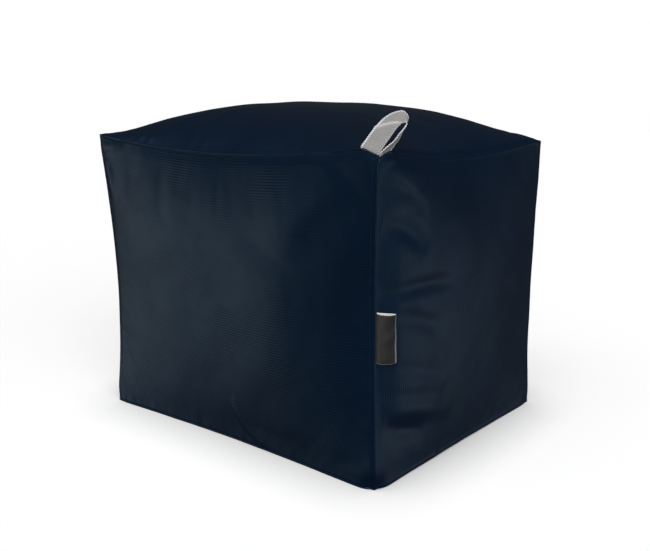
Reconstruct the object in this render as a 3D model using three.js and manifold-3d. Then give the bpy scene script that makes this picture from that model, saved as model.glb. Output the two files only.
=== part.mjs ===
// A square outdoor pouf: one bead-filled cover sewn from six panels, a carry loop of flat strap
// sewn into a lid corner, and a folded label sewn into the upright seam under that corner.
//
// Millimetres, +Z up. The origin is the middle of the underside, on the floor. The front panel
// faces -Y, and the corner with the loop is the front right one, at +X and -Y.

import * as THREE from "three";
import Module from "manifold-3d";

const wasm = await Module();
wasm.setup();

// ---------------------------------------------------------------- driving dimensions

const WIDTH = 500;
const DEPTH = 400;
const CORNER_HEIGHT = 404;
const HALF = [WIDTH / 2, DEPTH / 2, CORNER_HEIGHT / 2];

const GAP = 0.3; // between one piece and the next

const STRAP_WIDTH = 28;
const STRAP_THICKNESS = 2;

const LABEL_HEIGHT = 62;
const LABEL_WIDTH = 28; // from the seam to the outer fold
const LABEL_BOTTOM = 162; // above the floor
const LABEL_THICKNESS = 1;

// ---------------------------------------------------------------- the cover's tables

// A place on the cover is named by cube coordinates: one number from -1 to 1 along each of X, Y
// and Z. A panel has one of them at -1 or 1, a seam has two, and a corner has all three.

// shift: how far the corner lies from the corner of a plain box. tip: how much further its very
// tip hangs or is tucked in.
const CORNERS = [
  { at: [-1, -1, 1], shift: [-9, 0, 6], tip: [1, 1, 0] },
  { at: [1, -1, 1], shift: [1, 1, 10], tip: [0, 0, -10] },
  { at: [1, 1, 1], shift: [-1, 0, 2], tip: [-1, -1, -9] },
  { at: [-1, 1, 1], shift: [-2, 0, 8], tip: [1, -1, -4] },
  { at: [-1, -1, -1], shift: [3, 0, 0], tip: [2, 2, 0] },
  { at: [1, -1, -1], shift: [3, 0, 0], tip: [-4, 4, 0] },
  { at: [1, 1, -1], shift: [0, 0, 0], tip: [-2, -2, 0] },
  { at: [-1, 1, -1], shift: [0, 0, 0], tip: [3, -3, 0] },
];
const TIP_REACH = 15;

// One row for each seam; the coordinate that is 0 is the one it runs along. The filling draws
// its middle in towards the pouf's centre line and lets it sag. deepest: where, as a share of
// its length.
const SEAMS = [
  { at: [0, -1, 1], drawnIn: 6, sag: 18, deepest: 0.49 },
  { at: [0, 1, 1], drawnIn: 6, sag: 14, deepest: 0.52 },
  { at: [-1, 0, 1], drawnIn: 6, sag: 13, deepest: 0.5 },
  { at: [1, 0, 1], drawnIn: 6, sag: 17, deepest: 0.46 },
  { at: [0, -1, -1], drawnIn: 9, sag: -1.5, deepest: 0.5 },
  { at: [0, 1, -1], drawnIn: 8, sag: -1.5, deepest: 0.5 },
  { at: [-1, 0, -1], drawnIn: 7, sag: -1.5, deepest: 0.5 },
  { at: [1, 0, -1], drawnIn: 5, sag: -1.5, deepest: 0.5 },
  { at: [-1, -1, 0], drawnIn: 13, sag: 0, deepest: 0.45 },
  { at: [1, -1, 0], drawnIn: 9, sag: 0, deepest: 0.45 },
  { at: [1, 1, 0], drawnIn: 7, sag: 0, deepest: 0.32 },
  { at: [-1, 1, 0], drawnIn: 10, sag: 0, deepest: 0.4 },
];

// swell: how far the filling pushes the panel's middle past the surface its seams span.
// round: higher keeps the swelling flat-topped. full: lower makes it rise faster at the seams.
const PANELS = {
  front: { axis: 1, side: -1, swell: 18, round: 2.4, full: 1 },
  back: { axis: 1, side: 1, swell: 17, round: 2.4, full: 1 },
  left: { axis: 0, side: -1, swell: 16, round: 2.4, full: 1 },
  right: { axis: 0, side: 1, swell: 16, round: 2.4, full: 1 },
  lid: { axis: 2, side: 1, swell: 73, round: 2.5, full: 0.75 },
  base: { axis: 2, side: -1, swell: 8, round: 2.4, full: 1 },
};

// The main folds. from and to: millimetres on the panel, along X or Y and then upwards from the
// floor, or along X and Y on the lid. bend: how far the fold's middle bows to its left. rise:
// height of a ridge, or depth of a trough where it is negative. spread: its half width.
const FOLDS = [
  { panel: "front", from: [-124, 398], to: [-128, 296], bend: 0, rise: -4, spread: 13 },
  { panel: "front", from: [-188, 392], to: [-194, 316], bend: 0, rise: -3.5, spread: 12 },
  { panel: "front", from: [-156, 392], to: [-160, 300], bend: 0, rise: 2.5, spread: 13 },
  { panel: "front", from: [4, 66], to: [66, 2], bend: -7, rise: -4, spread: 11 },
  { panel: "front", from: [238, 384], to: [140, 262], bend: 6, rise: -6, spread: 26 },
  { panel: "front", from: [212, 230], to: [232, 90], bend: 0, rise: -3, spread: 24 },
  { panel: "right", from: [-196, 384], to: [-108, 332], bend: 14, rise: 4.5, spread: 11 },
  { panel: "right", from: [-190, 326], to: [-118, 300], bend: 4, rise: -5, spread: 15 },
  { panel: "right", from: [-190, 247], to: [-46, 238], bend: -3, rise: -4, spread: 11 },
  { panel: "right", from: [-160, 216], to: [-62, 181], bend: 4, rise: -3, spread: 12 },
  { panel: "right", from: [-186, 100], to: [-42, 62], bend: 3, rise: 4, spread: 14 },
  { panel: "right", from: [-184, 76], to: [-104, 54], bend: 0, rise: -4, spread: 12 },
  { panel: "back", from: [-150, 395], to: [-142, 300], bend: 0, rise: -4, spread: 13 },
  { panel: "back", from: [176, 394], to: [186, 318], bend: 0, rise: -3.5, spread: 12 },
  { panel: "back", from: [-226, 232], to: [-96, 214], bend: 4, rise: -3, spread: 13 },
  { panel: "back", from: [60, 60], to: [126, 6], bend: 6, rise: -3, spread: 12 },
  { panel: "left", from: [-184, 372], to: [-96, 300], bend: -10, rise: -4, spread: 15 },
  { panel: "left", from: [120, 392], to: [114, 306], bend: 0, rise: -3.5, spread: 13 },
  { panel: "left", from: [184, 214], to: [58, 196], bend: 0, rise: -3, spread: 13 },
  { panel: "lid", from: [-140, -186], to: [-112, -96], bend: 0, rise: 2.5, spread: 12 },
  { panel: "lid", from: [-82, -184], to: [-62, -92], bend: 0, rise: 2, spread: 12 },
  { panel: "lid", from: [222, 176], to: [132, 108], bend: 6, rise: -3, spread: 15 },
];
const FOLD_FADE = 14; // a fold dies out over this distance from a seam
const FOLD_TAPER = 0.7; // lower makes a fold keep its height nearer to its ends

// Cells along X, Y and Z. The grid lines crowd towards the seams, where the cover curves most.
const CELLS = [28, 22, 24];
const CROWDING = 0.45;

// ---------------------------------------------------------------- the cover

const axes = [0, 1, 2];

// 0 at both ends of a seam and 1 at its deepest point.
function bow(share, deepest) {
  const power = Math.log(0.5) / Math.log(deepest);
  return Math.sin(Math.PI * share ** power);
}

// 1 at the place whose coordinates are given, fading to 0 on the far side of the cube.
function pull(cube, at) {
  return axes.reduce((share, k) => share * (at[k] === 0 ? 1 : (1 + at[k] * cube[k]) / 2), 1);
}

function panelAt(cube) {
  return Object.values(PANELS).find(({ axis, side }) => cube[axis] === side);
}

// The height of one fold at a point of its panel, with soft sides and tapered ends.
function foldHeight({ from, to, bend, rise, spread }, [across, up]) {
  const run = [to[0] - from[0], to[1] - from[1]];
  const length = Math.hypot(...run);
  const away = [across - from[0], up - from[1]];
  const share = (away[0] * run[0] + away[1] * run[1]) / length ** 2;
  if (share <= 0 || share >= 1) {
    return 0;
  }
  const aside = (away[1] * run[0] - away[0] * run[1]) / length;
  const off = (aside - bend * 4 * share * (1 - share)) / spread;
  return rise * Math.exp(-off * off) * Math.sin(Math.PI * share) ** FOLD_TAPER;
}

function foldsHeight(panel, point, cube) {
  const flat = axes.filter((k) => k !== panel.axis);
  const margin = Math.min(...flat.map((k) => (1 - Math.abs(cube[k])) * HALF[k]));
  const fade = THREE.MathUtils.smoothstep(margin, 0, FOLD_FADE);
  const place = flat.map((k) => point[k]);
  return FOLDS.filter((fold) => PANELS[fold.panel] === panel)
    .reduce((sum, fold) => sum + fade * foldHeight(fold, place), 0);
}

// The point of the cover, in millimetres, at a place given in cube coordinates.
function coverPoint(cube) {
  const point = axes.map((k) => cube[k] * HALF[k]);
  point[2] += HALF[2];
  for (const { at, shift, tip } of CORNERS) {
    const share = pull(cube, at);
    const off = Math.hypot(...axes.map((k) => (cube[k] - at[k]) * HALF[k])) / TIP_REACH;
    const tipShare = Math.exp(-off * off);
    for (const k of axes) {
      point[k] += share * shift[k] + tipShare * tip[k];
    }
  }
  for (const { at, drawnIn, sag, deepest } of SEAMS) {
    const along = at.indexOf(0);
    const share = pull(cube, at) * bow((cube[along] + 1) / 2, deepest);
    const inward = Math.hypot(at[0], at[1]);
    point[0] -= (share * drawnIn * at[0]) / inward;
    point[1] -= (share * drawnIn * at[1]) / inward;
    point[2] -= share * sag;
  }
  const panel = panelAt(cube);
  const flat = axes.filter((k) => k !== panel.axis);
  const dome = flat.reduce((share, k) => share * (1 - Math.abs(cube[k]) ** panel.round), 1);
  const folds = foldsHeight(panel, point, cube);
  point[panel.axis] += panel.side * (panel.swell * dome ** panel.full + folds);
  point[2] = Math.max(0, point[2]); // the floor flattens the underside
  return point;
}

function gridLines(cells) {
  return Array.from({ length: cells + 1 }, (_, i) => {
    const even = (2 * i) / cells - 1;
    const crowded = Math.sin((even * Math.PI) / 2);
    return THREE.MathUtils.lerp(even, crowded, CROWDING);
  });
}

// One closed skin over all six panels. Neighbouring panels share their seam's points.
function coverGeometry() {
  const lines = CELLS.map(gridLines);
  const numbers = new Map();
  const positions = [];
  const faces = [];

  function vertex(cell) {
    const key = cell.join();
    if (!numbers.has(key)) {
      numbers.set(key, numbers.size);
      positions.push(...coverPoint(cell.map((i, k) => lines[k][i])));
    }
    return numbers.get(key);
  }

  for (const { axis, side } of Object.values(PANELS)) {
    const across = (axis + 1) % 3;
    const up = (axis + 2) % 3;
    for (let i = 0; i < CELLS[across]; i += 1) {
      for (let j = 0; j < CELLS[up]; j += 1) {
        const quad = [[i, j], [i + 1, j], [i + 1, j + 1], [i, j + 1]].map(([a, b]) => {
          const cell = [0, 0, 0];
          cell[axis] = side > 0 ? CELLS[axis] : 0;
          cell[across] = a;
          cell[up] = b;
          return vertex(cell);
        });
        const [a, b, c, d] = side > 0 ? quad : quad.reverse();
        faces.push(a, b, c, a, c, d);
      }
    }
  }
  return closedGeometry(positions, faces);
}

// ---------------------------------------------------------------- geometry helpers

function closedGeometry(positions, faces) {
  const geometry = new THREE.BufferGeometry();
  geometry.setAttribute("position", new THREE.Float32BufferAttribute(positions, 3));
  geometry.setIndex(new THREE.Uint32BufferAttribute(faces, 1));
  geometry.computeVertexNormals();
  return geometry;
}

// The same skin with every face moved outwards by one distance, or a little more where the faces
// round a point differ.
function grown(geometry, distance) {
  const { position, normal } = geometry.attributes;
  const { array: corners } = geometry.index;
  const face = new THREE.Triangle();
  const faceNormal = new THREE.Vector3();
  const pointNormal = new THREE.Vector3();
  const leastAgreement = new Float32Array(position.count).fill(1);
  for (let i = 0; i < corners.length; i += 3) {
    face.setFromAttributeAndIndices(position, corners[i], corners[i + 1], corners[i + 2]);
    face.getNormal(faceNormal);
    for (const k of corners.slice(i, i + 3)) {
      const agreement = pointNormal.fromBufferAttribute(normal, k).dot(faceNormal);
      leastAgreement[k] = Math.min(leastAgreement[k], agreement);
    }
  }
  const moved = position.array.map((value, i) => {
    const agreement = leastAgreement[Math.floor(i / 3)];
    return value + (distance / agreement) * normal.array[i];
  });
  return closedGeometry(Array.from(moved), Array.from(corners));
}

function toSolid(geometry) {
  return new wasm.Manifold(new wasm.Mesh({
    numProp: 3,
    vertProperties: new Float32Array(geometry.attributes.position.array),
    triVerts: new Uint32Array(geometry.index.array),
  }));
}

function trimmed(geometry, cutter) {
  const { vertProperties, triVerts } = toSolid(geometry).subtract(cutter).getMesh();
  return closedGeometry(Array.from(vertProperties), Array.from(triVerts));
}

// A closed loft through sections that all have the same number of points, given anticlockwise
// as seen from the loft's start.
function loft(sections) {
  const count = sections[0].length;
  const positions = sections.flat().flatMap((point) => point.toArray());
  const faces = [];
  for (let s = 0; s + 1 < sections.length; s += 1) {
    for (let i = 0; i < count; i += 1) {
      const here = s * count + i;
      const next = s * count + ((i + 1) % count);
      faces.push(here, here + count, next, next, here + count, next + count);
    }
  }
  const last = (sections.length - 1) * count;
  for (const [a, b, c] of THREE.ShapeUtils.triangulateShape(flattened(sections[0]), [])) {
    faces.push(a, b, c, last + a, last + c, last + b);
  }
  return closedGeometry(positions, faces);
}

// A section's points in its own plane, which the end caps are triangulated in.
function flattened(section) {
  const [origin] = section;
  const edge = section[1].clone().sub(origin).normalize();
  const far = section[section.length - 1].clone().sub(origin);
  const normal = new THREE.Vector3().crossVectors(edge, far).normalize();
  const side = new THREE.Vector3().crossVectors(normal, edge);
  return section.map((point) => {
    const away = point.clone().sub(origin);
    return new THREE.Vector2(away.dot(edge), away.dot(side));
  });
}

// ---------------------------------------------------------------- the carry loop

// The strap leaves the lid's front seam, leans back as it rises, turns over and comes down on
// the lid's right seam. inner: its edge nearest the corner, in millimetres from the corner's
// tip. heading: the way its width runs from there, in degrees from +X towards +Y. lift: how
// far that way climbs, in degrees.
const STRAP = [
  { inner: [-4, 4, -7], heading: 177, lift: 14 },
  { inner: [-2.5, 2, 1], heading: 177, lift: 15 },
  { inner: [-1, 12, 12], heading: 174, lift: 15 },
  { inner: [1, 22, 22], heading: 169, lift: 20 },
  { inner: [3, 32, 32], heading: 156, lift: 24 },
  { inner: [5, 37, 36], heading: 141, lift: 27 },
  { inner: [8, 39.5, 37.5], heading: 130, lift: 27 },
  { inner: [9.5, 37, 35], heading: 119, lift: 18 },
  { inner: [9, 32, 31], heading: 112, lift: 11 },
  { inner: [7.5, 25, 25], heading: 109, lift: 4 },
  { inner: [6, 18, 17.5], heading: 108, lift: 2 },
  { inner: [3.5, 7, 10], heading: 103, lift: 1 },
  { inner: [0, 2, 3], heading: 98, lift: 5 },
  { inner: [-5, 6, -7], heading: 97, lift: 5 },
];
const STRAP_STEPS = 44;

function strapGeometry() {
  const tip = new THREE.Vector3(...coverPoint([1, -1, 1]));
  const inner = new THREE.CatmullRomCurve3(
    STRAP.map((row) => new THREE.Vector3(...row.inner).add(tip)),
  );
  const across = new THREE.CatmullRomCurve3(STRAP.map(({ heading, lift }) => {
    const turn = THREE.MathUtils.degToRad(heading);
    const climb = THREE.MathUtils.degToRad(lift);
    const level = Math.cos(climb);
    return new THREE.Vector3(level * Math.cos(turn), level * Math.sin(turn), Math.sin(climb));
  }));
  const middle = (share) => {
    const width = across.getPoint(share).setLength(STRAP_WIDTH / 2);
    return inner.getPoint(share).add(width);
  };
  const sections = Array.from({ length: STRAP_STEPS + 1 }, (_, i) => {
    const share = i / STRAP_STEPS;
    const nudge = 0.5 / STRAP_STEPS;
    const run = middle(Math.min(1, share + nudge)).sub(middle(Math.max(0, share - nudge)));
    const width = across.getPoint(share).normalize();
    const outward = new THREE.Vector3().crossVectors(width, run).normalize();
    const centre = middle(share);
    return [[-1, -1], [1, -1], [1, 1], [-1, 1]].map(([side, face]) =>
      centre.clone()
        .addScaledVector(width, (side * STRAP_WIDTH) / 2)
        .addScaledVector(outward, (face * STRAP_THICKNESS) / 2));
  });
  return loft(sections);
}

// ---------------------------------------------------------------- the label

// A strip folded double, both its ends caught in the upright seam. One row for each bend of its
// middle line: along the right panel from the seam, and out from the panel, in millimetres. The
// back layer lies on the panel, and the front layer arches away from it.
const LABEL_BENDS = [
  { along: 2.2, out: -4 },
  { along: 2.8, out: 0.4 },
  { along: 9, out: 1.6 },
  { along: 18, out: 2.6 },
  { along: 25.5, out: 3.6 },
  { along: LABEL_WIDTH - LABEL_THICKNESS / 2, out: 5.2 },
  { along: 25.5, out: 6.9 },
  { along: 18, out: 7.6 },
  { along: 8, out: 5.6 },
  { along: 1, out: 1 },
  { along: 0.8, out: -4 },
];
const LABEL_STEPS = 30;
const LABEL_ROWS = 4;
const LABEL_DROOP = 5; // how much lower its fold hangs than its sewn edge
const LABEL_ASKEW = 2; // how much lower its front layer hangs than its back layer
const LABEL_SPLAY = 2; // how much further the fold stands from the seam at the bottom

function labelGeometry() {
  const middleLine = new THREE.SplineCurve(
    LABEL_BENDS.map(({ along, out }) => new THREE.Vector2(along, out)),
  );
  const shares = Array.from({ length: LABEL_STEPS + 1 }, (_, i) => i / LABEL_STEPS);
  const side = (sign) => shares.map((share) => {
    const tangent = middleLine.getTangent(share);
    const aside = new THREE.Vector2(-tangent.y, tangent.x);
    const place = middleLine.getPoint(share).addScaledVector(aside, (sign * LABEL_THICKNESS) / 2);
    return { place, share };
  });
  const outline = [...side(-1), ...side(1).reverse()];

  const sections = Array.from({ length: LABEL_ROWS + 1 }, (_, row) => {
    const height = LABEL_BOTTOM + (row / LABEL_ROWS) * LABEL_HEIGHT;
    const splay = 1 + ((1 - row / LABEL_ROWS) * LABEL_SPLAY) / LABEL_WIDTH;
    const level = height / HALF[2] - 1;
    const seam = new THREE.Vector3(...coverPoint([1, -1, level]));
    const panel = new THREE.Vector3(...coverPoint([1, LABEL_WIDTH / HALF[1] - 1, level]));
    const run = panel.sub(seam).setZ(0).normalize();
    const out = new THREE.Vector3(run.y, -run.x, 0);
    return outline.map(({ place, share }) => seam.clone()
      .addScaledVector(run, place.x * splay)
      .addScaledVector(out, place.y)
      .setZ(height - share * LABEL_ASKEW - (place.x / LABEL_WIDTH) * LABEL_DROOP));
  });
  return loft(sections);
}

// ---------------------------------------------------------------- the pieces

const coverCloth = new THREE.MeshStandardMaterial({ color: 0x13202e, roughness: 0.5, metalness: 0 });
const strapCloth = new THREE.MeshStandardMaterial({ color: 0xa9a5a1, roughness: 0.85, metalness: 0 });
const labelCloth = new THREE.MeshStandardMaterial({ color: 0x2f2f31, roughness: 0.6, metalness: 0 });

function piece(name, geometry, material) {
  const mesh = new THREE.Mesh(geometry, material);
  mesh.name = name;
  return mesh;
}

const cover = coverGeometry();
const clearance = toSolid(grown(cover, GAP));

const pouf = new THREE.Group();
pouf.name = "square_pouf";
pouf.add(piece("pouf_body", cover, coverCloth));
pouf.add(piece("carry_loop", trimmed(strapGeometry(), clearance), strapCloth));
pouf.add(piece("side_label", trimmed(labelGeometry(), clearance), labelCloth));

export default pouf;
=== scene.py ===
"""The look of a square outdoor pouf: its bead-filled cover, carry loop and side label.

Metres and +Z up, as in the frame. The tables are in millimetres, and MM turns them into metres.
"""

import math

import bpy
import numpy as np
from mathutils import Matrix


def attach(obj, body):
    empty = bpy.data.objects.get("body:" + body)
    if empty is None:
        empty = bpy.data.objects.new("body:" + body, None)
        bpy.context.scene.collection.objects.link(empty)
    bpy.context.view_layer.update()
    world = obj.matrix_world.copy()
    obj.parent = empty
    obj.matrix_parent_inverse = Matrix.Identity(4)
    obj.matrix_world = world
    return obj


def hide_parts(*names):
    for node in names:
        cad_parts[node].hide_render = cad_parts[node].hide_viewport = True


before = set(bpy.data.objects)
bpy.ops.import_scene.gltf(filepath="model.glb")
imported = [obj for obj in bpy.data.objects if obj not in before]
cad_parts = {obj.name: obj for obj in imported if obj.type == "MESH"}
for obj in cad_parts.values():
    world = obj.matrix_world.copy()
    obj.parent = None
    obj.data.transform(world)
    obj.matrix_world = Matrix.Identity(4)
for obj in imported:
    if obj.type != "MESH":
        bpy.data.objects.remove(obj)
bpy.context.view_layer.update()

MM = 0.001
TINY = 1e-9

# ---- the cover's shape

WIDTH = 500
DEPTH = 400
CORNER_HEIGHT = 404
HALF = np.array([WIDTH, DEPTH, CORNER_HEIGHT]) / 2

# A place on the cover is named by cube coordinates: one number from -1 to 1 along each of X, Y
# and Z. A panel has one of them at -1 or 1, a seam has two, and a corner has all three.

# at, shift: how far the corner lies from a plain box's, tip: how much further its tip is moved
CORNERS = [
    ((-1, -1, 1), (-9, 0, 6), (1, 1, 0)),
    ((1, -1, 1), (0.1, 0.3, 11), (0.9, 0.7, -9)),
    ((1, 1, 1), (0, 0, 3), (0, 0, -5)),
    ((-1, 1, 1), (-2, 0, 8), (1, -1, -4)),
    ((-1, -1, -1), (3, 0, 0), (2, 2, 0)),
    ((1, -1, -1), (5, -3, 0), (-7, 7, 0)),
    ((1, 1, -1), (1.5, 3.5, 0), (-2, -2, 0)),
    ((-1, 1, -1), (0, 0, 0), (3, -3, 0)),
]
# How near a corner its tip is moved
TIP_REACH = 15

# at, drawn in towards the centre line, sag, where along it is deepest
SEAMS = [
    ((0, -1, 1), 6, 18, 0.49),
    ((0, 1, 1), 6, 14, 0.52),
    ((-1, 0, 1), 6, 13, 0.5),
    ((1, 0, 1), 6, 17, 0.46),
    ((0, -1, -1), 8, -1.5, 0.5),
    ((0, 1, -1), 8, -1.5, 0.5),
    ((-1, 0, -1), 7, -1.5, 0.5),
    ((1, 0, -1), 1, -1.5, 0.5),
    ((-1, -1, 0), 13, 0, 0.45),
    ((1, -1, 0), 9, 0, 0.45),
    ((1, 1, 0), 7, 0, 0.32),
    ((-1, 1, 0), 10, 0, 0.4),
]

# The near upright also bows a little to one side: how far along X and Y, and its deepest point
NEAR_BOW = (-1, -0.8)
NEAR_BOW_DEEPEST = 0.6

# the axis it faces and on which side, how far its middle swells out, and two powers that shape the
# swell: a higher first one is flatter in the middle, a lower second one is fuller near the seams
PANELS = {
    "front": (1, -1, 18, 2.4, 1),
    "back": (1, 1, 17, 2.4, 1),
    "left": (0, -1, 16, 2.4, 1),
    "right": (0, 1, 21, 2.1, 1),
    "lid": (2, 1, 75, 2.5, 0.75),
    "base": (2, -1, 8, 2.4, 1),
}

# The two axes that a panel lies along, for each axis that it may face
FLAT_AXES = [[1, 2], [0, 2], [0, 1]]

# panel, path on the panel (X or Y, then Z; X and Y on the lid), rise of a ridge or depth of a
# trough, half width to the left and to the right of the path, how near a seam it dies out
FOLDS = [
    ("front", [(-121, 378), (-119, 340), (-119, 308), (-114, 286)], -1.3, 13, 15, 14),
    ("front", [(-182, 386), (-186, 350), (-184, 324), (-173, 302)], -1.5, 13, 14, 14),
    ("front", [(-340, 322), (-190, 314), (-60, 322), (110, 340)], 2.6, 60, 95, 20),
    ("front", [(-259, 395), (-236, 393), (-206, 398)], 2, 9, 8, 1),
    ("front", [(-259, 384), (-247, 381), (-232, 385)], -1.3, 3, 6, 1),
    ("front", [(-253, 374), (-246, 366), (-238, 346), (-234, 320)], 2, 9, 9, 3),
    ("front", [(10, 66), (17, 46), (33, 27), (54, 13), (78, 4)], 2, 6, 4, 5),
    ("front", [(236, 402), (205, 380), (157, 349), (124, 313), (104, 270)], 3.5, 26, 60, 14),
    ("front", [(196, 386), (146, 330), (120, 272), (108, 225), (102, 150), (98, 30)], 5, 84, 98, 14),
    ("right", [(-160, 360), (-156, 250), (-158, 60)], 4.5, 60, 24, 14),
    ("right", [(-199, 392), (-188, 397), (-168, 403)], 2, 12, 4, 1),
    ("right", [(-199, 392), (-181, 387), (-161, 380), (-138, 367), (-118, 354), (-102, 330)], 3.2, 40, 7, 1),
    ("right", [(-196, 391), (-168, 384), (-124, 364), (-76, 332), (-36, 292), (-10, 230)], 4.5, 50, 80, 22),
    ("right", [(-188, 326), (-152, 317), (-130, 305), (-112, 286)], -4.5, 13, 14, 14),
    ("right", [(-194, 246), (-150, 244), (-100, 244), (-40, 238)], -3.6, 10, 11, 14),
    ("right", [(-176, 214), (-145, 208), (-110, 198), (-66, 178)], -2.8, 11, 14, 14),
    ("right", [(-186, 150), (-120, 138), (-64, 120)], -1, 10, 10, 14),
    ("right", [(-186, 128), (-120, 118), (-62, 100)], 1.2, 9, 9, 14),
    ("right", [(-186, 100), (-110, 84), (-42, 62)], 3.4, 13, 14, 14),
    ("right", [(-184, 76), (-144, 66), (-104, 54)], -3.4, 11, 12, 14),
    ("back", [(-150, 395), (-146, 350), (-142, 300)], -4, 13, 13, 14),
    ("back", [(176, 394), (182, 350), (186, 318)], -3.5, 12, 12, 14),
    ("back", [(-226, 232), (-160, 228), (-96, 214)], -3, 13, 13, 14),
    ("back", [(60, 60), (86, 26), (126, 6)], -3, 11, 11, 5),
    ("left", [(-184, 372), (-146, 326), (-96, 300)], -4, 14, 15, 14),
    ("left", [(120, 392), (116, 350), (114, 306)], -3.5, 13, 13, 14),
    ("left", [(184, 214), (120, 208), (58, 196)], -3, 13, 13, 14),
    ("lid", [(-140, -186), (-124, -140), (-112, -96)], 1.6, 12, 12, 14),
    ("lid", [(-82, -184), (-72, -140), (-62, -92)], 1.3, 12, 12, 14),
    ("lid", [(222, 176), (180, 136), (132, 108)], -3, 15, 15, 14),
]
# A fold fades towards its ends as this power of half a wave, and its path is smoothed in so many
# steps between each two of its points
FOLD_TAPER = 0.7
FOLD_STEPS = 6

# The fine grid's lines: these distances from each seam, then even steps between
NEAR_SEAM = (0, 0.5, 1, 1.6, 2.3, 3.1, 4, 5, 6, 6.7, 7.4, 8.4, 9.6, 11.5, 14, 17.2, 21)
FINE_STEP = 4.5
# The even step of the coarse grid that is simulated
SIM_STEP = 8.5
# A point nearer a seam than this is on it
ON_SEAM = 0.01


def bow(share, deepest):
    """0 at both ends of a seam and 1 at its deepest point."""
    return np.sin(np.pi * share ** (math.log(0.5) / math.log(deepest)))


def pull(cube, at):
    """1 at the place whose coordinates are given, fading to 0 on the far side of the cube."""
    share = np.ones(len(cube))
    for k in range(3):
        if at[k]:
            share *= (1 + at[k] * cube[:, k]) / 2
    return share


def smoothstep(value, low, high):
    """0 at low and before it, 1 at high and beyond it, and a smooth change between them."""
    t = np.clip((value - low) / (high - low), 0, 1)
    return t * t * (3 - 2 * t)


def lengths_along(path):
    """How far along a path each of its points lies."""
    return np.concatenate([[0], np.cumsum(np.linalg.norm(np.diff(path, axis=0), axis=1))])


def resampled(rows, along, at):
    """Rows of numbers that are given at distances along something, read at other distances."""
    return np.stack([np.interp(at, along, column) for column in rows.T], axis=1)


def path_offset(path, place):
    """For each place: how far it lies to the left of the path, and its share along the path."""
    steps = np.diff(path, axis=0)
    lengths = np.linalg.norm(steps, axis=1)
    starts = lengths_along(path)
    best = np.full(len(place), np.inf)
    aside = np.zeros(len(place))
    share = np.zeros(len(place))
    for n, (start, step, length) in enumerate(zip(path, steps, lengths)):
        away = place - start
        along = away @ step / length
        held = np.clip(along, 0, length)
        off = away - np.outer(held, step / length)
        distance = np.linalg.norm(off, axis=1)
        side = np.sign(away[:, 1] * step[0] - away[:, 0] * step[1])
        nearer = distance < best
        best = np.where(nearer, distance, best)
        aside = np.where(nearer, side * distance, aside)
        share = np.where(nearer, (starts[n] + held) / starts[-1], share)
    return aside, share


def smoothed_path(path, steps):
    """A centripetal Catmull-Rom curve through a path's points, in so many steps between each two.
    Only the first three numbers of each point are its place: any others are carried along."""
    path = np.array(path, float)
    path = np.vstack([2 * path[0] - path[1], path, 2 * path[-1] - path[-2]])
    pieces = []
    for four in zip(path, path[1:], path[2:], path[3:]):
        gaps = [np.linalg.norm(after[:3] - before[:3]) ** 0.5 for before, after in zip(four, four[1:])]
        knots = np.concatenate([[0], np.cumsum(gaps)])
        at = np.linspace(knots[1], knots[2], steps, endpoint=False)[:, None]

        def between(before, after, low, high):
            return before + (after - before) * (at - knots[low]) / (knots[high] - knots[low])

        first = [between(four[k], four[k + 1], k, k + 1) for k in range(3)]
        second = [between(first[k], first[k + 1], k, k + 2) for k in range(2)]
        pieces.append(between(second[0], second[1], 1, 2))
    return np.vstack(pieces + [path[-2:-1]])


def folds_height(name, place, margin):
    """How far its folds raise a panel, at places and their distances from a seam."""
    height = np.zeros(len(place))
    for panel, path, rise, left, right, fade in FOLDS:
        if panel != name:
            continue
        aside, share = path_offset(smoothed_path(path, FOLD_STEPS), place)
        spread = np.where(aside > 0, left, right)
        taper = np.sin(np.pi * share) ** FOLD_TAPER
        height += rise * np.exp(-((aside / spread) ** 2)) * taper * smoothstep(margin, 0, fade)
    return height


def cover_points(cube, panel_of):
    """The cover's points in millimetres at places given in cube coordinates."""
    point = cube * HALF
    point[:, 2] += HALF[2]
    for at, shift, tip in CORNERS:
        share = pull(cube, at)
        off = np.linalg.norm((cube - at) * HALF, axis=1) / TIP_REACH
        point += np.outer(share, shift) + np.outer(np.exp(-off * off), tip)
    for at, drawn_in, sag, deepest in SEAMS:
        along = at.index(0)
        share = pull(cube, at) * bow((cube[:, along] + 1) / 2, deepest)
        inward = math.hypot(at[0], at[1])
        point[:, 0] -= share * drawn_in * at[0] / inward
        point[:, 1] -= share * drawn_in * at[1] / inward
        point[:, 2] -= share * sag
    share = pull(cube, (1, -1, 0)) * bow((cube[:, 2] + 1) / 2, NEAR_BOW_DEEPEST)
    point[:, :2] += np.outer(share, NEAR_BOW)
    for number, (name, (axis, side, swell, roundness, full)) in enumerate(PANELS.items()):
        mine = np.flatnonzero(panel_of == number)
        flat = FLAT_AXES[axis]
        here = cube[mine][:, flat]
        dome = np.prod(1 - np.abs(here) ** roundness, axis=1) ** full
        margin = np.min((1 - np.abs(here)) * HALF[flat], axis=1)
        folds = folds_height(name, point[mine][:, flat], margin)
        point[mine, axis] += side * (swell * dome + folds)
    point[:, 2] = np.maximum(point[:, 2], 0)
    return point


def fine_lines():
    """Grid lines along X, Y and Z in cube coordinates, close together beside the seams."""
    lines = []
    for half in HALF:
        near = np.array(NEAR_SEAM)
        steps = round(2 * (half - near[-1]) / FINE_STEP)
        inner = np.linspace(near[-1], 2 * half - near[-1], steps + 1)
        every = np.concatenate([near[:-1], inner, 2 * half - near[:-1][::-1]])
        lines.append(every / half - 1)
    return lines


def even_lines(step):
    """Grid lines along X, Y and Z, about so many millimetres apart."""
    return [np.linspace(-1, 1, round(2 * half / step) + 1) for half in HALF]


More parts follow.
